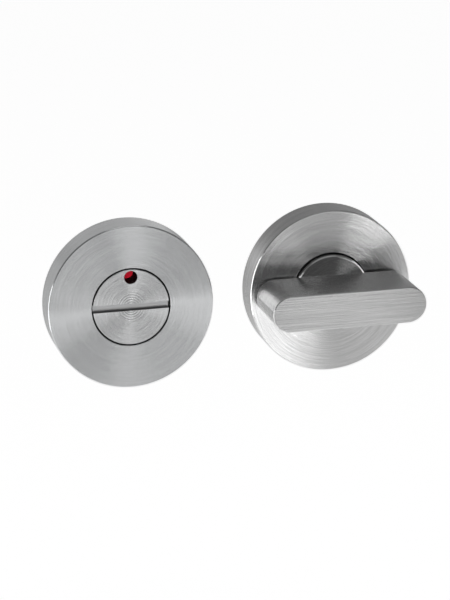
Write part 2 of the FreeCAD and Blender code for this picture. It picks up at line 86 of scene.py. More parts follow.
class Signal:
    """One socket on its way through a node tree, with arithmetic that adds Math nodes."""

    def __init__(self, bench: "Bench", socket: bpy.types.NodeSocket) -> None:
        """Keeps a socket and the bench that it belongs to."""
        self.bench = bench
        self.socket = socket

    def math(self, operation: str, *operands: "Operand") -> "Signal":
        """Adds a Math node.

        Args:
            operation: Blender's name for the operation.
            operands: The node's inputs, in order.

        Returns:
            The result.
        """
        return self.bench.node("ShaderNodeMath", {"operation": operation}, dict(enumerate(operands)))

    def __add__(self, other: "Operand") -> "Signal":
        """Adds two values."""
        return self.math("ADD", self, other)

    def __radd__(self, other: "Operand") -> "Signal":
        """Adds a number in front."""
        return self.math("ADD", other, self)

    def __sub__(self, other: "Operand") -> "Signal":
        """Takes a value away."""
        return self.math("SUBTRACT", self, other)

    def __rsub__(self, other: "Operand") -> "Signal":
        """Takes this away from a number."""
        return self.math("SUBTRACT", other, self)

    def __mul__(self, other: "Operand") -> "Signal":
        """Multiplies two values."""
        return self.math("MULTIPLY", self, other)

    def __rmul__(self, other: "Operand") -> "Signal":
        """Multiplies with a number in front."""
        return self.math("MULTIPLY", other, self)

    def __truediv__(self, other: "Operand") -> "Signal":
        """Divides by a value."""
        return self.math("DIVIDE", self, other)

    def __rtruediv__(self, other: "Operand") -> "Signal":
        """Divides a number by this."""
        return self.math("DIVIDE", other, self)

    def __abs__(self) -> "Signal":
        """Drops the sign."""
        return self.math("ABSOLUTE", self)

    def root(self) -> "Signal":
        """Gives the square root."""
        return self.math("SQRT", self)

    def sine(self) -> "Signal":
        """Gives the sine of an angle in radians."""
        return self.math("SINE", self)

    def rise(self, low: float, high: float) -> "Signal":
        """Adds a smooth step.

        Args:
            low: Where it leaves 0.
            high: Where it reaches 1.

        Returns:
            The step.
        """
        return self.bench.node(
            "ShaderNodeMapRange",
            {"interpolation_type": "SMOOTHSTEP"},
            {"Value": self, "From Min": low, "From Max": high},
        )

    def swing(self, size: float) -> "Signal":
        """Turns noise into a value that swings about 0."""
        return (self - NOISE_MIDDLE) * size


Operand = Union[Signal, float, int]
Tint = Union[Signal, Colour]


class Bench:
    """A node tree under construction."""

    def __init__(self, tree: bpy.types.NodeTree) -> None:
        """Starts from an empty tree."""
        self.tree = tree
        tree.nodes.clear()

    def add(
        self,
        kind: str,
        settings: Optional[dict[str, Any]] = None,
        sockets: Optional[dict[Key, Any]] = None,
    ) -> bpy.types.Node:
        """Adds a node.

        Args:
            kind: The node's type.
            settings: Its properties, set first; "stops" are the (position, colour) pairs of a ramp.
            sockets: Values or signals for its inputs, by name or number.

        Returns:
            The node.
        """
        made = self.tree.nodes.new(kind)
        for name, value in (settings or {}).items():
            if name == "stops":
                self.set_stops(made.color_ramp, value)
            else:
                setattr(made, name, value)
        for key, value in (sockets or {}).items():
            if isinstance(value, Signal):
                self.tree.links.new(value.socket, made.inputs[key])
            else:
                made.inputs[key].default_value = value
        return made

    def node(
        self,
        kind: str,
        settings: Optional[dict[str, Any]] = None,
        sockets: Optional[dict[Key, Any]] = None,
        output: Key = 0,
    ) -> Signal:
        """Adds a node and hands on one of its outputs, by name or number."""
        return Signal(self, self.add(kind, settings, sockets).outputs[output])

    @staticmethod
    def set_stops(ramp: bpy.types.ColorRamp, stops: Sequence[tuple[float, Colour]]) -> None:
        """Fills a colour ramp.

        Args:
            ramp: The ramp of a new node, which has two stops.
            stops: Positions from 0 to 1, with their colours.
        """
        while len(ramp.elements) < len(stops):
            ramp.elements.new(1.0)
        for element, (position, colour) in zip(ramp.elements, stops):
            element.position = position
            element.color = (*colour, 1.0)

    def parts(self, vector: Signal) -> tuple[Signal, Signal, Signal]:
        """Splits a vector into its x, y and z."""
        split = self.add("ShaderNodeSeparateXYZ", sockets={"Vector": vector})
        return tuple(Signal(self, socket) for socket in split.outputs)

    def vector(self, x: Operand, y: Operand, z: Operand) -> Signal:
        """Joins three values into a vector."""
        return self.node("ShaderNodeCombineXYZ", sockets={"X": x, "Y": y, "Z": z})

    def place(self) -> Signal:
        """Gives the shaded point in its piece's own frame, in millimetres."""
        point = self.node("ShaderNodeTexCoord", output="Object")
        return self.node("ShaderNodeVectorMath", {"operation": "SCALE"}, {"Vector": point, "Scale": 1 / MM})

    def noise(self, vector: Signal, scale: float = 1.0, detail: float = 2.0) -> Signal:
        """Adds cloudy noise about 0.5.

        Args:
            vector: Where the noise is read.
            scale: Features per unit of the vector.
            detail: Number of finer layers.

        Returns:
            The noise.
        """
        return self.node("ShaderNodeTexNoise", sockets={"Vector": vector, "Scale": scale, "Detail": detail})

    def blend(self, share: Operand, first: Tint, second: Tint) -> Signal:
        """Mixes two colours.

        Args:
            share: 0 for the first colour and 1 for the second.
            first: A colour or a colour signal.
            second: A colour or a colour signal.

        Returns:
            The mixed colour.
        """
        pair = [tint if isinstance(tint, Signal) else (*tint, 1.0) for tint in (first, second)]
        return self.node(
            "ShaderNodeMix", {"data_type": "RGBA"}, {0: share, 6: pair[0], 7: pair[1]}, output=2
        )

    def bump(self, height: Signal, depth: float) -> Signal:
        """Turns a height from 0 to 1 into a normal; depth is its full range in metres."""
        return self.node("ShaderNodeBump", sockets={"Strength": 1.0, "Distance": depth, "Height": height})

    def principled(self, **sockets: Any) -> Signal:
        """Adds the main shader; a socket's name has _ in place of a space."""
        named = {key.replace("_", " "): value for key, value in sockets.items()}
        return self.node("ShaderNodeBsdfPrincipled", sockets=named)

    def output(self, kind: str, shader: Signal) -> None:
        """Ends the tree with an output node of that kind."""
        self.add(kind, sockets={"Surface": shader})


def shade(colour: Colour, factor: float) -> Colour:
    """Makes a colour darker or lighter."""
    return tuple(min(1.0, channel * factor) for channel in colour)


def plain_grey(level: float) -> Colour:
    """Gives a colour with three equal channels."""
    return level, level, level


class Grain(Enum):
    """Which way the marks of a brushed finish run."""

    ROUND = "round the z axis"
    STRAIGHT = "along the x axis"


@dataclass(frozen=True)
class Finish:
    """A surface finish, made into one material."""

    name: str

    def surface(self, bench: Bench) -> Signal:
        """Adds the nodes of the finish and gives its shader."""
        raise NotImplementedError

    def material(self) -> bpy.types.Material:
        """Makes the material at the first call.

        Returns:
            The material.
        """
        made = bpy.data.materials.get(self.name)
        if made is None:
            made = bpy.data.materials.new(self.name)
            made.use_nodes = True
            bench = Bench(made.node_tree)
            bench.output("ShaderNodeOutputMaterial", self.surface(bench))
        return made

    def dress(self, piece: bpy.types.Object) -> None:
        """Gives a piece this finish all over."""
        piece.data.materials.clear()
        piece.data.materials.append(self.material())


@dataclass(frozen=True)
class Lay:
    """Where a shaded point lies among brush marks.

    It lies across them, in millimetres, and along and beside them in slow steps. Round marks have a radius.
    """

    across: Signal
    along: Signal
    beside: Signal
    radius: Optional[Signal] = None


@dataclass(frozen=True)
class BrushedSteel(Finish):
    """Stainless steel with the fine parallel marks of an abrasive belt or a lathe.

    Round pieces may also have wavy lathe rings near their middle. The two drifts are the change along
    straight marks per millimetre, and front_slope is the range in which a face turns into a front.
    """

    grain: Grain
    colour: Colour
    roughness: float
    anisotropy: float = 1.0
    streak: float = 0.18
    streak_range: Point = (0.2, 0.8)
    coarse_mm: float = 0.28
    coarse_tone: float = 0.6
    coarse_height: float = 0.45
    fine_mm: float = 0.1
    fine_sweep: float = 3.0
    depth: float = 1.3e-5
    roughness_swing: float = 0.06
    drift: float = 0.03
    slow_drift: float = 0.005
    front_slope: Point = (0.4, 0.6)
    ring_mm: float = 0.75
    ring_share: float = 0.0
    ring_wander: float = 2.0
    ring_fade_mm: Point = (2.2, 5.5)

    def lay(self, bench: Bench) -> Lay:
        """Finds the shaded point among the marks.

        Args:
            bench: The tree to add nodes to.

        Returns:
            Its place across and along them.
        """
        x, y, z = bench.parts(bench.place())
        if self.grain is Grain.ROUND:
            radius = (x * x + y * y).root()
            return Lay(radius + z, x / radius, y / radius, radius)
        _, _, outward = bench.parts(bench.node("ShaderNodeTexCoord", output="Normal"))
        front = abs(outward).rise(*self.front_slope)
        return Lay(y * front + z * (1 - front), x * self.drift, x * self.slow_drift)

    def surface(self, bench: Bench) -> Signal:
        """Adds streaks that vary colour, roughness and bump, and the wide highlight across them.

        Args:
            bench: The tree to add nodes to.

        Returns:
            The shader.
        """
        lay = self.lay(bench)
        coarse = bench.noise(bench.vector(lay.across / self.coarse_mm, lay.along, lay.beside), detail=3.0)
        fine = bench.noise(
            bench.vector(lay.across / self.fine_mm, lay.along * self.fine_sweep, lay.beside * self.fine_sweep)
        )
        marks = coarse * self.coarse_tone + fine * (1 - self.coarse_tone)
        height = coarse * self.coarse_height + fine * (1 - self.coarse_height)
        tone = marks.rise(*self.streak_range)
        if self.ring_share:
            rings = (lay.across * (math.tau / self.ring_mm) + coarse * self.ring_wander).sine()
            tone = tone + rings * (1 - lay.radius.rise(*self.ring_fade_mm)) * self.ring_share
        dark, light = shade(self.colour, 1 - self.streak), shade(self.colour, 1 + self.streak)
        # The highlight runs round the piece's z axis by itself, and a quarter turn lays it across the marks.
        return bench.principled(
            Base_Color=bench.blend(tone, dark, light),
            Metallic=1.0,
            Roughness=self.roughness + marks.swing(self.roughness_swing),
            Anisotropic=self.anisotropy,
            Anisotropic_Rotation=QUARTER_ROTATION,
            Normal=bench.bump(height, self.depth),
        )


@dataclass(frozen=True)
class MottledMetal(Finish):
    """Plated or phosphated steel with a cloudy, finely crystalline skin; the window's bore uses it near black
    as painted shade.
    """

    dark: Colour
    light: Colour
    roughness: float
    metallic: float
    cloud_mm: float = 2.4
    cloud_share: float = 0.55
    cloud_range: Point = (0.3, 0.7)
    crystal_mm: float = 0.22
    roughness_swing: float = 0.3
    depth: float = 4e-6
    specular: float = 0.5

    def surface(self, bench: Bench) -> Signal:
        """Adds clouds in the colour and crystals in the roughness and bump.

        Args:
            bench: The tree to add nodes to.

        Returns:
            The shader.
        """
        place = bench.place()
        cloud = bench.noise(place, 1 / self.cloud_mm, 4.0)
        crystal = bench.noise(place, 1 / self.crystal_mm, 3.0)
        skin = cloud * self.cloud_share + crystal * (1 - self.cloud_share)
        return bench.principled(
            Base_Color=bench.blend(skin.rise(*self.cloud_range), self.dark, self.light),
            Metallic=self.metallic,
            Specular_IOR_Level=self.specular,
            Roughness=self.roughness + crystal.swing(self.roughness_swing),
            Normal=bench.bump(crystal, self.depth),
        )


@dataclass(frozen=True)
class MouldedPlastic(Finish):
    """Moulded plastic with a spark-eroded grain, flow clouds and pale flecks of filler."""

    colour: Colour
    fleck: Colour
    fleck_share: float
    roughness: float
    flow_per_mm: float = 0.09
    flow_range: Point = (0.3, 0.7)
    flow_tone: float = 0.2
    flow_swing: float = 0.15
    grain_mm: float = 0.3
    grain_swing: float = 0.25
    fleck_mm: float = 0.5
    fleck_range: Point = (0.6, 0.72)
    depth: float = 1.2e-5

    def surface(self, bench: Bench) -> Signal:
        """Adds flow clouds and flecks in the colour and the grain in the bump.

        Args:
            bench: The tree to add nodes to.

        Returns:
            The shader.
        """
        place = bench.place()
        flow = bench.noise(place, self.flow_per_mm, 3.0)
        grain = bench.noise(place, 1 / self.grain_mm)
        fibre = bench.noise(place, 1 / self.fleck_mm, 5.0).rise(*self.fleck_range)
        dark, light = shade(self.colour, 1 - self.flow_tone), shade(self.colour, 1 + self.flow_tone)
        body = bench.blend(flow.rise(*self.flow_range), dark, light)
        return bench.principled(
            Base_Color=bench.blend(fibre * self.fleck_share, body, self.fleck),
            Roughness=self.roughness + grain.swing(self.grain_swing) + flow.swing(self.flow_swing),
            Normal=bench.bump(grain, self.depth),
        )


@dataclass(frozen=True)
class IndicatorEnamel(Finish):
    """Stoved enamel on the indicator ring.

    It is red above and below the axis and green at each side, with a black rim round both that is painted
    shade in the gap round the coin disc.
    """

    red: Colour
    green: Colour
    axis_x_mm: float
    shade_border: Colour = (0.006, 0.006, 0.006)
    speck: Colour = (0.02, 0.004, 0.005)
    field_radius_mm: float = 11.5
    soft_mm: float = 0.08
    speckle_mm: float = 0.12
    speckle_range: Point = (0.45, 0.8)
    speckle_share: float = 0.35
    peel_mm: float = 0.5
    peel_swing: float = 0.1
    peel_depth: float = 6e-6
    roughness: float = 0.22
    coat: float = 0.5

    def surface(self, bench: Bench) -> Signal:
        """Adds the two fields of colour, a fine speckle and the enamel's orange peel.

        Args:
            bench: The tree to add nodes to.

        Returns:
            The shader.
        """
        place = bench.place()
        x, _, z = bench.parts(place)
        across = x - self.axis_x_mm
        aside = (abs(across) - abs(z)).rise(-self.soft_mm, self.soft_mm)
        outside = (across * across + z * z).root() - self.field_radius_mm
        speckle = bench.noise(place, 1 / self.speckle_mm).rise(*self.speckle_range) * self.speckle_share
        peel = bench.noise(place, 1 / self.peel_mm, 1.0)
        fields = bench.blend(aside, self.red, self.green)
        # Outside the fields the ring is black, painted shade in the gap round the coin disc.
        fields_in_shade = bench.blend(outside.rise(-self.soft_mm, self.soft_mm), fields, self.shade_border)
        return bench.principled(
            Base_Color=bench.blend(speckle, fields_in_shade, self.speck),
            Roughness=self.roughness + peel.swing(self.peel_swing),
            Coat_Weight=self.coat,
            Normal=bench.bump(peel, self.peel_depth),
        )


ROSE_FINISH = BrushedSteel(
    "circular_brushed_steel", Grain.ROUND, (0.596, 0.604, 0.61), 0.2, streak=0.15
)
TURN_ROSE_FINISH = replace(
    ROSE_FINISH, name="circular_brushed_turn_steel", colour=plain_grey(0.6), streak=0.27
)
DISC_FINISH = BrushedSteel(
    "turned_ring_steel", Grain.ROUND, (0.62, 0.625, 0.63), 0.2, streak=0.24, ring_share=1.2
)
COLLAR_FINISH = BrushedSteel("turned_collar_steel", Grain.ROUND, plain_grey(0.58), 0.2)
BAR_FINISH = BrushedSteel(
    "straight_brushed_steel", Grain.STRAIGHT, plain_grey(0.6), 0.18, streak=0.28, depth=3e-5
)
# The slot's floor is milled steel with a real grain, drawn darker than the disc's face as painted shade down
# in the slot.
SLOT_FINISH = BrushedSteel(
    "painted_shade_milled_slot_floor", Grain.STRAIGHT, (0.51, 0.514, 0.518), 0.28, anisotropy=0.3
)
# The slot's side walls are a dark grey steel, painted shade down in the narrow slot.
PAINTED_SHADE_WALL = BrushedSteel("painted_shade_slot_wall_steel", Grain.STRAIGHT, plain_grey(0.34), 0.4, anisotropy=0.3)
# The window's bore is near black, painted shade inside the hole.
PAINTED_SHADE_BORE = MottledMetal(
    "painted_shade_bore", plain_grey(0.004), plain_grey(0.012), 0.6, 0.0, specular=0.03
)
ZINC_FINISH = MottledMetal("zinc_plate", (0.50, 0.52, 0.55), (0.70, 0.71, 0.73), 0.34, 1.0)
PHOSPHATE_FINISH = MottledMetal("phosphate_coat", (0.05, 0.048, 0.046), (0.13, 0.125, 0.12), 0.5, 0.8)
NYLON_FINISH = MouldedPlastic("glass_filled_nylon", (0.022, 0.022, 0.023), (0.09, 0.09, 0.085), 0.5, 0.5)
ACETAL_FINISH = MouldedPlastic("natural_acetal", (0.72, 0.71, 0.67), (0.80, 0.79, 0.76), 0.3, 0.35)


def arc(centre: Point, radius: float, start: float, end: float, steps: int) -> list[Point]:
    """Draws part of a circle.

    Args:
        centre: Its middle.
        radius: Its radius.
        start: Angle of the first point, in degrees.
        end: Angle of the last point.
        steps: Number of straight stretches.

    Returns:
        The points, both ends included.
    """
    angles = [math.radians(start + (end - start) * i / steps) for i in range(steps + 1)]
    return [(centre[0] + radius * math.cos(a), centre[1] + radius * math.sin(a)) for a in angles]


def spun(
    outline: Sequence[Point], steps: int, start: float = 0.0, sweep: float = FULL_TURN
) -> bpy.types.Mesh:
    """Spins an outline of (radius, height) points about the z axis.

    Args:
        outline: A closed section that runs anticlockwise, or one that begins and ends on the axis.
        steps: Number of flat stretches round the axis.
        start: Angle at which a part turn begins, in degrees.
        sweep: The angle turned through.

    Returns:
        A closed mesh in the outline's own unit.
    """
    on_axis = outline[0][0] == 0
    points = outline[1:-1] if on_axis else outline
    count = len(points)
    whole = sweep >= FULL_TURN
    turns = steps if whole else steps + 1
    angles = [math.radians(start + sweep * i / steps) for i in range(turns)]
    verts = [(r * math.cos(a), r * math.sin(a), z) for a in angles for r, z in points]
    faces = []
    for i in range(steps):
        here, there = i * count, (i + 1) % turns * count
        for j in range(count - 1 if on_axis else count):
            k = (j + 1) % count
            faces.append((here + j, there + j, there + k, here + k))
    if on_axis:
        faces.append([i * count for i in reversed(range(turns))])
        faces.append([i * count + count - 1 for i in range(turns)])
    elif not whole:
        faces.append(list(range(count)))
        faces.append([steps * count + j for j in reversed(range(count))])
    mesh = bpy.data.meshes.new("spun")
    mesh.from_pydata(verts, [], faces)
    return mesh


def stacked(rings: Sequence[Sequence[Corner]]) -> bpy.types.Mesh:
    """Joins closed rings of points, one above the other, and closes both ends.

    Args:
        rings: Rings with equal numbers of points, from the lowest up, each anticlockwise seen from above.

    Returns:
        A closed mesh.
    """
    count = len(rings[0])
    faces = [
        (i * count + j, i * count + (j + 1) % count, (i + 1) * count + (j + 1) % count, (i + 1) * count + j)
        for i in range(len(rings) - 1)
        for j in range(count)
    ]
    faces.append(list(reversed(range(count))))
    faces.append([(len(rings) - 1) * count + j for j in range(count)])
    mesh = bpy.data.meshes.new("stacked")
    mesh.from_pydata([point for ring in rings for point in ring], [], faces)
    return mesh


# A cutter runs this far past the surface that it breaks, in millimetres.
PAST = 1.0
DRILL_STEPS = 64
CUTTER_STEPS = 96


def block(low: Corner, high: Corner) -> bpy.types.Mesh:
    """Makes a box between two corners, for use as a cutter."""
    corners = [(low[0], low[1]), (high[0], low[1]), (high[0], high[1]), (low[0], high[1])]
    return stacked([[(x, y, z) for x, y in corners] for z in (low[2], high[2])])


def drill(radius: float, bottom: float, top: float, x: float = 0.0, y: float = 0.0) -> bpy.types.Mesh:
    """Makes a round cutter along z.

    Args:
        radius: Radius of the hole.
        bottom: Its lower end.
        top: Its upper end.
        x: Place of its axis.
        y: Place of its axis.

    Returns:
        The cutter.
    """
    mesh = spun([(0, bottom), (radius, bottom), (radius, top), (0, top)], DRILL_STEPS)
    mesh.transform(Matrix.Translation((x, y, 0)))
    return mesh


def carved(blank: bpy.types.Mesh, cutters: Sequence[bpy.types.Mesh], edge: float) -> bpy.types.Mesh:
    """Cuts solids out of a blank and breaks the edges that are left sharp.

    Args:
        blank: The solid to cut.
        cutters: What is taken away.
        edge: Width of the broken edges.

    Returns:
        The cut mesh.
    """
    scene = bpy.context.scene.collection.objects
    body = bpy.data.objects.new("blank", blank)
    tools = [bpy.data.objects.new(f"cutter_{i}", mesh) for i, mesh in enumerate(cutters)]
    for thing in (body, *tools):
        scene.link(thing)
    for tool in tools:
        cut = body.modifiers.new("cut", "BOOLEAN")
        cut.operation, cut.solver, cut.object = "DIFFERENCE", "EXACT", tool
    broken = body.modifiers.new("broken_edge", "BEVEL")
    broken.width, broken.segments = edge, 2
    broken.limit_method, broken.angle_limit = "ANGLE", SHARP_ANGLE
    bpy.context.view_layer.update()
    made = bpy.data.meshes.new_from_object(body.evaluated_get(bpy.context.evaluated_depsgraph_get()))
    for thing in (body, *tools):
        bpy.data.objects.remove(thing)
    return made


@dataclass
class SteelPiece:
    """A steel piece that is drawn again about the axis of its half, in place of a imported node."""

    name: str
    node: str
    body: str
    slot: str
    finish: Finish
    axis_x: float = field(init=False)
    front: float = field(init=False)
    back: float = field(init=False)
    radius: float = field(init=False)

    def __post_init__(self) -> None:
        """Takes the axis, in metres, and the overall sizes, in millimetres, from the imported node."""
        low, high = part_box(self.node)
        self.axis_x = (low.x + high.x) / 2
        self.front = -low.y / MM
        self.back = -high.y / MM
        self.radius = (high.x - low.x) / 2 / MM

    def stand(self, mesh: bpy.types.Mesh) -> bpy.types.Object:
        """Stands a mesh in millimetres on the door plane in place of its node.

        Args:
            mesh: The piece, drawn about the axis of its half.

        Returns:
            The object, dressed and riding on its body.
        """
        mesh.transform(Matrix.Scale(MM, 4))
        mesh.name = self.name
        mesh.polygons.foreach_set("use_smooth", [True] * len(mesh.polygons))
        mesh.set_sharp_from_angle(angle=SMOOTH_ANGLE)
        piece = bpy.data.objects.new(self.name, mesh)
        bpy.context.scene.collection.objects.link(piece)
        piece.matrix_world = Matrix.Translation((self.axis_x, 0, 0)) @ STAND_UP
        flat = piece.modifiers.new("flat_faces", "WEIGHTED_NORMAL")
        flat.keep_sharp = True
        self.finish.dress(piece)
        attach(piece, self.body)
        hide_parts(self.node)
        log.info("%s: %d faces, rides on %s", self.name, len(mesh.polygons), self.body)
        return piece


@dataclass
class RoseCover(SteelPiece):
    """Hollow round rose with a softened front edge and a groove inside its rim."""

    hole_radius: float = 12.45
    wall: float = 1.5
    face: float = 1.5
    edge: float = 0.4
    edge_steps: int = 8
    hole_edge: float = 0.15
    hole_edge_steps: int = 4
    mouth: float = 0.4
    groove: float = 24.95
    groove_low: float = 2.15
    groove_high: float = 3.85
    steps: int = 256

    def build(self) -> bpy.types.Object:
        """Spins the rose's section and stands it in place.

        Returns:
            The rose.
        """
        outside, depth = self.radius, self.front
        inside, ceiling = outside - self.wall, depth - self.face
        ramp = self.groove - inside
        edge_centre = outside - self.edge, depth - self.edge
        hole_centre = self.hole_radius + self.hole_edge, depth - self.hole_edge
        section = [(inside, self.mouth), (inside + self.mouth, 0), (outside, 0)]
        section += arc(edge_centre, self.edge, 0, 90, self.edge_steps)
        section += arc(hole_centre, self.hole_edge, 90, 180, self.hole_edge_steps)
        section += [
            (self.hole_radius, ceiling),
            (inside, ceiling),
            (inside, self.groove_high + ramp),
            (self.groove, self.groove_high),
            (self.groove, self.groove_low),
            (inside, self.groove_low - ramp),
        ]
        return self.stand(spun(section, self.steps))


@dataclass
class TurnedDisc(SteelPiece):
    """Turned disc, notched for a stop, on a stem that is grooved for a retaining ring and squared inside."""

    edge: float = 0.15
    edge_steps: int = 6
    broken_edge: float = 0.05
    disc_back: float = 3.4
    shoulder_radius: float = 6.813
    shoulder_back: float = 2.45
    stem_radius: float = 5.513
    stem_bevel: float = 0.5
    groove_radius: float = 5.263
    groove_front: float = -4.85
    groove_back: float = -5.95
    socket_side: float = 6.1
    socket_top: float = 4.0
    notch_radius: float = 9.6
    notch_top: float = 5.4
    notch_half_angle: float = 96.14
    notch_past: float = 0.5
    steps: int = 192

    def blank(self) -> bpy.types.Mesh:
        """Spins the disc and its stem.

        Returns:
            The uncut disc.
        """
        r, face = self.radius, self.front
        section = [
            (0, self.back),
            (self.stem_radius - self.stem_bevel, self.back),
            (self.stem_radius, self.back + self.stem_bevel),
            (self.stem_radius, self.groove_back),
            (self.groove_radius, self.groove_back),
            (self.groove_radius, self.groove_front),
            (self.stem_radius, self.groove_front),
            (self.stem_radius, self.shoulder_back),
            (self.shoulder_radius, self.shoulder_back),
            (self.shoulder_radius, self.disc_back),
            (r, self.disc_back),
        ]
        section += arc((r - self.edge, face - self.edge), self.edge, 0, 90, self.edge_steps)
        return spun(section + [(0, face)], self.steps)

    def cutters(self) -> list[bpy.types.Mesh]:
        """Makes the cutters for the square socket, its countersunk mouth and the stop notch.

        Returns:
            The cutters.
        """
        half = self.socket_side / 2
        corner = half * math.sqrt(2)
        below, outside = self.back - PAST, self.radius + PAST
        mouth_top, notch_low = self.back + corner - half, self.disc_back - self.notch_past
        mouth = [(0, below), (corner + PAST, below), (half, mouth_top), (0, mouth_top)]
        notch = [
            (self.notch_radius, notch_low),
            (outside, notch_low),
            (outside, self.notch_top),
            (self.notch_radius, self.notch_top),
        ]
        return [
            block((-half, -half, below), (half, half, self.socket_top)),
            spun(mouth, CUTTER_STEPS),
            spun(notch, CUTTER_STEPS, -90 - self.notch_half_angle, 2 * self.notch_half_angle),
        ]

    def build(self) -> bpy.types.Object:
        """Turns, cuts and stands the piece."""
        return self.stand(carved(self.blank(), self.cutters(), self.broken_edge))


class DiscPart(IntEnum):
    """Parts of the coin disc that are finished apart, as the numbers of its materials."""

    FACE = 0
    SLOT_FLOOR = 1
    BORE = 2
    SLOT_WALL = 3


@dataclass
class CoinDisc(TurnedDisc):
    """Outside disc with a coin slot and the indicator's window.

    The margins are how far past a cut a face may lie and still belong to it.
    """

    slot_width: float = 2.3
    slot_depth: float = 1.5
    window_radius: float = 2.1
    window_y: float = 9.5
    edge_depth: float = 0.06
    slot_margin: float = 0.01
    floor_margin: float = 0.1
    window_margin: float = 0.03
    steep: float = 0.5

    def cutters(self) -> list[bpy.types.Mesh]:
        """Adds the slot and the window to the cuts.

        Returns:
            The cutters.
        """
        half, reach, above = self.slot_width / 2, self.radius + PAST, self.front + PAST
        slot = block((-reach, -half, self.front - self.slot_depth), (reach, half, above))
        window = drill(self.window_radius, self.disc_back - PAST, above, y=self.window_y)
        return super().cutters() + [slot, window]

    def part(self, face: bpy.types.MeshPolygon) -> DiscPart:
        """Tells which part of the disc a face belongs to.

        Args:
            face: A face of the finished mesh.

        Returns:
            The part.
        """
        x, y, z = (value / MM for value in face.center)
        depth = self.front - z
        if depth <= self.edge_depth:
            return DiscPart.FACE
        between_walls = abs(y) < self.slot_width / 2 + self.slot_margin
        if between_walls and depth < self.slot_depth + self.floor_margin:
            return DiscPart.SLOT_WALL if abs(face.normal.y) > self.steep else DiscPart.SLOT_FLOOR
        if math.hypot(x, y - self.window_y) < self.window_radius + self.window_margin:
            return DiscPart.BORE
        return DiscPart.FACE

    def build(self) -> bpy.types.Object:
        """Turns the disc and gives the slot and the window's bore their own finishes, darker than the face as
        painted shade in the slot and the bore.

        Returns:
            The disc.
        """
        piece = super().build()
        for finish in (SLOT_FINISH, PAINTED_SHADE_BORE, PAINTED_SHADE_WALL):
            piece.data.materials.append(finish.material())
        for face in piece.data.polygons:
            face.material_index = self.part(face).value
        return piece


@dataclass(frozen=True)
class Fastening:
    """Holes for the screw and the two dowels between the collar and the bar."""

    screw_radius: float = 1.53
    dowel_radius: float = 1.53
    dowel_x: float = 8.0
    dowel_depth: float = 5.03

    def dowel_holes(self, bottom: float, top: float) -> list[bpy.types.Mesh]:
        """Makes the cutters for both dowels."""
        return [drill(self.dowel_radius, bottom, top, x) for x in (-self.dowel_x, self.dowel_x)]


@dataclass
class TurnCollar(TurnedDisc):
    """Inside disc that carries the bar, bored for its screw, its dowels and the spindle's grub screw."""

    edge: float = 0.7
    fastening: Fastening = Fastening()
    head_radius: float = 2.8
    head_top: float = 7.1
    grub_radius: float = 1.53
    grub_level: float = -8.4

    def cutters(self) -> list[bpy.types.Mesh]:
        """Adds the holes for the fasteners to the cuts.

        Returns:
            The cutters.
        """
        above, below = self.front + PAST, self.socket_top - PAST
        grub = drill(self.grub_radius, 0, self.stem_radius + PAST)
        grub.transform(Matrix.Translation((0, 0, self.grub_level)) @ STAND_UP)
        holes = [
            drill(self.fastening.screw_radius, below, above),
            drill(self.head_radius, below, self.head_top),
            grub,
        ]
        holes += self.fastening.dowel_holes(self.front - self.fastening.dowel_depth, above)
        return super().cutters() + holes


@dataclass
class ThumbBar(SteelPiece):
    """Long bar with half-round ends, brushed along its length."""

    edge: float = 0.3
    broken_edge: float = 0.05
    fastening: Fastening = Fastening()
    screw_depth: float = 9.5
    end_steps: int = 40
    edge_steps: int = 6
    far_off: float = 1000.0
    length: float = field(init=False)

    def __post_init__(self) -> None:
        """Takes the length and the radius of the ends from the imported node."""
        super().__post_init__()
        low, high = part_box(self.node)
        self.length = (high.x - low.x) / MM
        self.radius = (high.z - low.z) / 2 / MM

    def ring(self, inset: float, level: float) -> list[Corner]:
        """Draws the bar's outline.

        Args:
            inset: How far it is set in.
            level: Its height above the door.

        Returns:
            Its points.
        """
        end_x, radius = self.length / 2 - self.radius, self.radius - inset
        outline = arc((end_x, 0), radius, -90, 90, self.end_steps)
        outline += arc((-end_x, 0), radius, 90, 270, self.end_steps)
        return [(x, y, level) for x, y in outline]

    def build(self) -> bpy.types.Object:
        """Stacks the bar's outlines, bores its back and stands it in place.

        Returns:
            The bar.
        """
        turn = arc((0, 0), self.edge, 0, 90, self.edge_steps)
        rings = [self.ring(self.edge - x, self.back + self.edge - y) for x, y in reversed(turn)]
        rings += [self.ring(self.edge - x, self.front - self.edge + y) for x, y in turn]
        below = self.back - PAST
        holes = [drill(self.fastening.screw_radius, below, self.back + self.screw_depth)]
        holes += self.fastening.dowel_holes(below, self.back + self.fastening.dowel_depth)
        piece = self.stand(carved(stacked(rings), holes, self.broken_edge))
        # The highlight runs round the middle of the texture space, so one that is far off makes it straight.
        piece.data.use_auto_texspace = False
        piece.data.texspace_location = (0, self.far_off, 0)
        piece.data.texspace_size = (1, 1, 1)
        return piece


@dataclass
class InnerWorks:
    """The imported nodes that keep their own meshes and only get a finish."""

    indicator: str = "indicator_ring"
    red: Colour = (0.62, 0.012, 0.03)
    green: Colour = (0.03, 0.30, 0.06)
    finishes: dict[str, Finish] = field(
        default_factory=lambda: {
            "mounting_plate": NYLON_FINISH,
            "bush": ACETAL_FINISH,
            "stop_pin": ZINC_FINISH,
            "spring_washer": PHOSPHATE_FINISH,
            "circlip": PHOSPHATE_FINISH,
            "grub_screw": PHOSPHATE_FINISH,
            "bar_screw": ZINC_FINISH,
            "bar_dowels": ZINC_FINISH,
            "threaded_sleeves": ZINC_FINISH,
            "spindle": ZINC_FINISH,
        }
    )

    def finish_of(self, name: str) -> Finish:
        """Finds a node's finish by the words in its name.

        Args:
            name: The node's name.

        Returns:
            The first finish whose words it holds.
        """
        if name == self.indicator:
            low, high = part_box(name)
            return IndicatorEnamel("indicator_enamel_paint", self.red, self.green, (low.x + high.x) / 2 / MM)
        for words, finish in self.finishes.items():
            if words in name:
                return finish
        raise ValueError(f"no finish for {name}")

    def dress(self) -> None:
        """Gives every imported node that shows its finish."""
        for name, node in frame["nodes"].items():
            if not node.hide_render:
                finish = self.finish_of(name)
                finish.dress(node)
                log.info("%s: dressed in %s", name, finish.name)


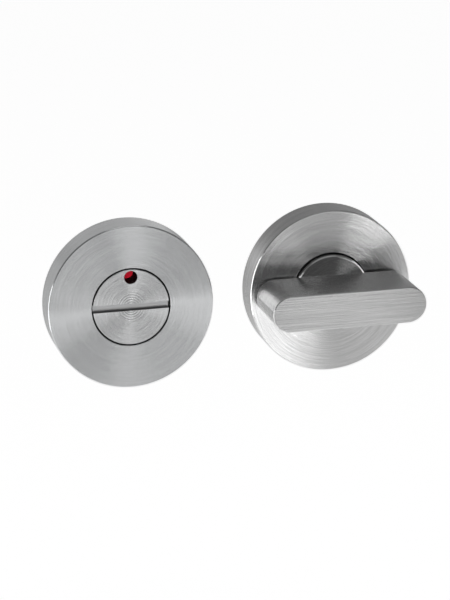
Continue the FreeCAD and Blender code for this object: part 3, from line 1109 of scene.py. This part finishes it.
def direction(azimuth: float, elevation: float) -> Vector:
    """Gives the unit vector towards a place round the set.

    Args:
        azimuth: Degrees to the right of straight in front.
        elevation: Degrees above the horizon.

    Returns:
        The vector.
    """
    a, e = math.radians(azimuth), math.radians(elevation)
    return Vector((math.sin(a) * math.cos(e), -math.cos(a) * math.cos(e), math.sin(e)))


def facing(away: Vector) -> Matrix:
    """Turns a lamp or camera that stands away from the set to look back along that vector."""
    return (-away).to_track_quat("-Z", "Y").to_matrix().to_4x4()


class Lit(Enum):
    """Which pieces a lamp lights."""

    SET = "the whole set"
    RELEASE = "the release half"
    WINDOW = "the indicator behind its window"
    TURN = "the rose of the turn half"
    COLLAR = "the collar"
    BAR = "the thumb bar"


@dataclass(frozen=True)
class SoftBox:
    """A rectangular studio lamp that faces the pieces that it lights.

    Its place is given as seen from them, in degrees and metres, and glow is its brightness where 1 is white.
    """

    name: str
    lit: Lit
    azimuth: float
    elevation: float
    width: float
    height: float
    glow: float
    roll: float = 0.0
    distance: float = 0.2

    def hang(self, pieces: Sequence[bpy.types.Object], aim: Vector) -> None:
        """Hangs the lamp.

        Args:
            pieces: The pieces that it lights, or none where it lights everything.
            aim: The point that it faces.
        """
        lamp = bpy.data.lights.new(self.name, "AREA")
        lamp.shape, lamp.size, lamp.size_y = "RECTANGLE", self.width, self.height
        lamp.energy = self.glow * math.pi * self.width * self.height
        holder = bpy.data.objects.new(self.name, lamp)
        holder.visible_camera = False
        bpy.context.scene.collection.objects.link(holder)
        away = direction(self.azimuth, self.elevation)
        turn = Matrix.Rotation(math.radians(self.roll), 4, "Z")
        holder.matrix_world = Matrix.Translation(aim + away * self.distance) @ facing(away) @ turn
        if pieces:
            chosen = bpy.data.collections.new(self.name + "_lights")
            for piece in pieces:
                chosen.objects.link(piece)
            holder.light_linking.receiver_collection = chosen
        log.info("%s: lights %s", self.name, self.lit.value)


LAMPS = (
    SoftBox("overhead", Lit.SET, 0, 72, 0.9, 0.9, 0.2, distance=0.9),
    SoftBox("turn_key", Lit.TURN, 24.8, 0.2, 0.016, 0.053, 4.6, roll=18),
    SoftBox("turn_side", Lit.TURN, 33.2, -10.9, 0.042, 0.056, 0.75, roll=50),
    SoftBox("turn_high", Lit.TURN, 8.2, 10.8, 0.056, 0.034, 0.85, roll=12, distance=0.12),
    SoftBox("turn_left", Lit.TURN, 0.4, -7.3, 0.056, 0.056, 0.9, roll=-35),
    SoftBox("turn_low", Lit.TURN, 4.7, -24.6, 0.056, 0.056, 1.6, roll=18),
    SoftBox("turn_edge", Lit.TURN, -72, -4, 0.2, 0.2, 3.2),
    SoftBox("collar_key", Lit.COLLAR, 29.4, 4.6, 0.042, 0.0705, 1.75, roll=17),
    SoftBox("collar_right", Lit.COLLAR, 90, 20, 0.1, 0.1, 3.0),
    SoftBox("collar_left", Lit.COLLAR, -66, 20, 0.08, 0.08, 1.3),
    SoftBox("bar_strip", Lit.BAR, 13, -6, 0.06, 0.07, 0.55),
    SoftBox("bar_end", Lit.BAR, -160, 4, 0.1, 0.1, 0.98),
    SoftBox("bar_edge", Lit.BAR, -72, -8, 0.12, 0.12, 2.5),
    SoftBox("release_top", Lit.RELEASE, 13.1, -5.8, 0.0175, 0.056, 1.2, roll=18),
    SoftBox("release_side", Lit.RELEASE, 24.1, -16.5, 0.0245, 0.056, 0.18, roll=70),
    SoftBox("release_left", Lit.RELEASE, 2.4, -8.2, 0.049, 0.056, 0.6, roll=-15),
    SoftBox("release_right", Lit.RELEASE, 24.5, -13.5, 0.042, 0.056, 0.28, roll=45),
    SoftBox("release_back", Lit.RELEASE, 170, 30, 0.25, 0.15, 0.28),
    SoftBox("release_edge", Lit.RELEASE, -72, -10, 0.14, 0.14, 1.9),
    SoftBox("release_high", Lit.RELEASE, 20, 68, 0.12, 0.08, 1.5),
    SoftBox("window_light", Lit.WINDOW, -12, 17, 0.05, 0.05, 38.0),
)


@dataclass(frozen=True)
class Board:
    """A flat grey board that only the metal sees; corners are in metres, and a level of 1 is white."""

    name: str
    corners: tuple[Corner, Corner, Corner, Corner]
    level: float

    @staticmethod
    def upright(name: str, across: Point, up: Point, away: float, level: float) -> "Board":
        """Makes a board that faces the set.

        Args:
            name: Its name.
            across: Its two sides along x.
            up: Its lower and upper edge.
            away: Its place along y.
            level: How pale it is.

        Returns:
            The board.
        """
        low, high = up
        left, right = across
        corners = ((left, away, low), (right, away, low), (right, away, high), (left, away, high))
        return Board(name, corners, level)

    @staticmethod
    def lying(name: str, outline: Sequence[Point], height: float, level: float) -> "Board":
        """Makes a board that lies just above the floor."""
        return Board(name, tuple((x, y, height) for x, y in outline), level)


# The height of the boards that lie just above the floor, in metres.
LOW = -0.155
BOARDS = (
    Board.upright("front_board", (-0.6, 0.6), (-0.16, 0.45), -0.54, 0.08),
    Board.upright("back_board", (-0.5, 0.06), (-0.16, 0.02), 0.25, 0.55),
    Board.upright("back_right_board", (0.06, 0.3), (-0.16, 0.065), 0.25, 0.35),
    Board.lying(
        "low_right_board", ((0.045, -0.45), (0.0, -0.2), (0.12, -0.2), (0.081, -0.383)), LOW, 0.88
    ),
    Board.lying(
        "low_left_board", ((0.02, -0.46), (-0.099, -0.345), (-0.16, -0.2), (-0.045, -0.2)), LOW, 0.62
    ),
)


@dataclass
class Studio:
    """Plain pale floor, soft world light, grey boards and lamps."""

    face_depth: float = 0.01
    floor_drop: float = 0.16
    floor_reach: float = 30.0
    floor_white: float = 0.9
    floor_lift: float = 0.75
    horizon: float = 0.95
    middle: float = 0.28
    middle_height: float = 0.25
    zenith: float = 0.2

    def panel(self, name: str, corners: Sequence[Corner]) -> tuple[bpy.types.Object, Bench]:
        """Makes a flat stage piece.

        Args:
            name: Its name.
            corners: Its four corners.

        Returns:
            The piece and the empty node tree of its material.
        """
        mesh = bpy.data.meshes.new(name)
        mesh.from_pydata(corners, [], [(0, 1, 2, 3)])
        piece = bpy.data.objects.new(name, mesh)
        bpy.context.scene.collection.objects.link(piece)
        material = bpy.data.materials.new(name)
        material.use_nodes = True
        mesh.materials.append(material)
        return piece, Bench(material.node_tree)

    def lay_floor(self) -> None:
        """Lays a floor that is white in the picture and in the metal, and keeps its shadows."""
        reach, level = self.floor_reach, -self.floor_drop
        square = ((-reach, -reach), (reach, -reach), (reach, reach), (-reach, reach))
        _, bench = self.panel("studio_floor", [(x, y, level) for x, y in square])
        white = (*plain_grey(self.floor_white), 1.0)
        plain = bench.node("ShaderNodeBsdfDiffuse", sockets={"Color": white})
        glow = bench.node("ShaderNodeEmission", sockets={"Strength": self.floor_lift})
        lifted = bench.node("ShaderNodeAddShader", sockets={0: plain, 1: glow})
        straight, mirrored, through = (
            bench.node("ShaderNodeLightPath", output=name)
            for name in ("Is Camera Ray", "Is Glossy Ray", "Is Transmission Ray")
        )
        seen = straight + mirrored + through
        shown = bench.node("ShaderNodeMixShader", sockets={0: seen, 1: plain, 2: lifted})
        bench.output("ShaderNodeOutputMaterial", shown)

    def light_world(self) -> None:
        """Fills the world with a soft light that is palest at the horizon."""
        world = bpy.data.worlds.new("studio_world")
        world.use_nodes = True
        bpy.context.scene.world = world
        bench = Bench(world.node_tree)
        _, _, height = bench.parts(bench.node("ShaderNodeTexCoord", output="Generated"))
        stops = [
            (0.0, plain_grey(self.horizon)),
            (self.middle_height, plain_grey(self.middle)),
            (1.0, plain_grey(self.zenith)),
        ]
        colour = bench.node("ShaderNodeValToRGB", {"stops": stops}, {"Fac": height})
        bench.output("ShaderNodeOutputWorld", bench.node("ShaderNodeBackground", sockets={"Color": colour}))

    def stand_boards(self) -> None:
        """Stands the grey boards that shade the metal's reflections."""
        for board in BOARDS:
            piece, bench = self.panel(board.name, board.corners)
            piece.visible_camera = piece.visible_shadow = piece.visible_diffuse = False
            glow = bench.node("ShaderNodeEmission", sockets={"Strength": board.level})
            bench.output("ShaderNodeOutputMaterial", glow)

    def hang_lamps(self, groups: dict[Lit, list[bpy.types.Object]]) -> None:
        """Hangs every lamp before the pieces that it lights.

        Args:
            groups: The pieces of each choice, apart from the whole set.
        """
        whole = groups[Lit.RELEASE] + groups[Lit.TURN]
        for lamp in LAMPS:
            pieces = groups.get(lamp.lit, [])
            lamp.hang(pieces, self.aim(pieces or whole))

    def aim(self, pieces: Sequence[bpy.types.Object]) -> Vector:
        """Gives the middle of the faces of some pieces.

        Args:
            pieces: Pieces of one half or of both.

        Returns:
            The point on their axis, or half way between two axes.
        """
        across = [(piece.matrix_world @ Vector(corner)).x for piece in pieces for corner in piece.bound_box]
        return Vector(((min(across) + max(across)) / 2, -self.face_depth, 0))


@dataclass
class Viewpoint:
    """The camera, up and to the left of the set."""

    azimuth: float = -14.3
    elevation: float = 16.6
    roll: float = -0.5
    distance: float = 0.8
    lens: float = 152.6
    middle_px: Point = (223.9, 290.2)
    picture_px: Point = (450.0, 600.0)
    sensor: float = 36.0

    def set_up(self, middle: Vector) -> None:
        """Puts up the camera.

        Args:
            middle: The point between the two halves that shows at middle_px.
        """
        data = bpy.data.cameras.new("camera")
        data.sensor_width, data.lens = self.sensor, self.lens
        camera = bpy.data.objects.new("camera", data)
        bpy.context.scene.collection.objects.link(camera)
        bpy.context.scene.camera = camera
        away = direction(self.azimuth, self.elevation)
        looking = facing(away) @ Matrix.Rotation(math.radians(self.roll), 4, "Z")
        metres_per_px = self.distance * self.sensor / self.lens / max(self.picture_px)
        right, up = looking.col[0].to_3d(), looking.col[1].to_3d()
        aim = middle.copy()
        aim += right * (self.picture_px[0] / 2 - self.middle_px[0]) * metres_per_px
        aim -= up * (self.picture_px[1] / 2 - self.middle_px[1]) * metres_per_px
        camera.matrix_world = Matrix.Translation(aim + away * self.distance) @ looking


def main() -> None:
    """Builds and dresses the set, then lights it and puts up the camera."""
    logging.basicConfig(level=logging.INFO, format="%(name)s: %(message)s")
    bpy.context.scene.view_settings.view_transform = "Standard"
    release = [
        RoseCover("brushed_release_rose", "release_rose_cover", "roses", "rose_steel", ROSE_FINISH).build(),
        CoinDisc("turned_coin_disc", "release_disc", "coin_release", "turned_steel", DISC_FINISH).build(),
    ]
    turn = [
        RoseCover("brushed_turn_rose", "turn_rose_cover", "roses", "rose_steel", TURN_ROSE_FINISH).build(),
        TurnCollar("turned_collar", "turn_collar", "thumb_turn", "turned_steel", COLLAR_FINISH).build(),
        ThumbBar("brushed_thumb_bar", "thumb_bar", "thumb_turn", "bar_steel", BAR_FINISH).build(),
    ]
    works = InnerWorks()
    works.dress()
    studio = Studio()
    studio.lay_floor()
    studio.light_world()
    studio.stand_boards()
    ring = frame["nodes"][works.indicator]
    studio.hang_lamps(
        {
            Lit.RELEASE: release + [ring],
            Lit.WINDOW: [ring],
            Lit.TURN: turn[:1],
            Lit.COLLAR: turn[1:2],
            Lit.BAR: turn[2:],
        }
    )
    axes = [half[0].matrix_world.translation.x for half in (release, turn)]
    Viewpoint().set_up(Vector((sum(axes) / len(axes), 0, 0)))


if __name__ == "__main__":
    main()
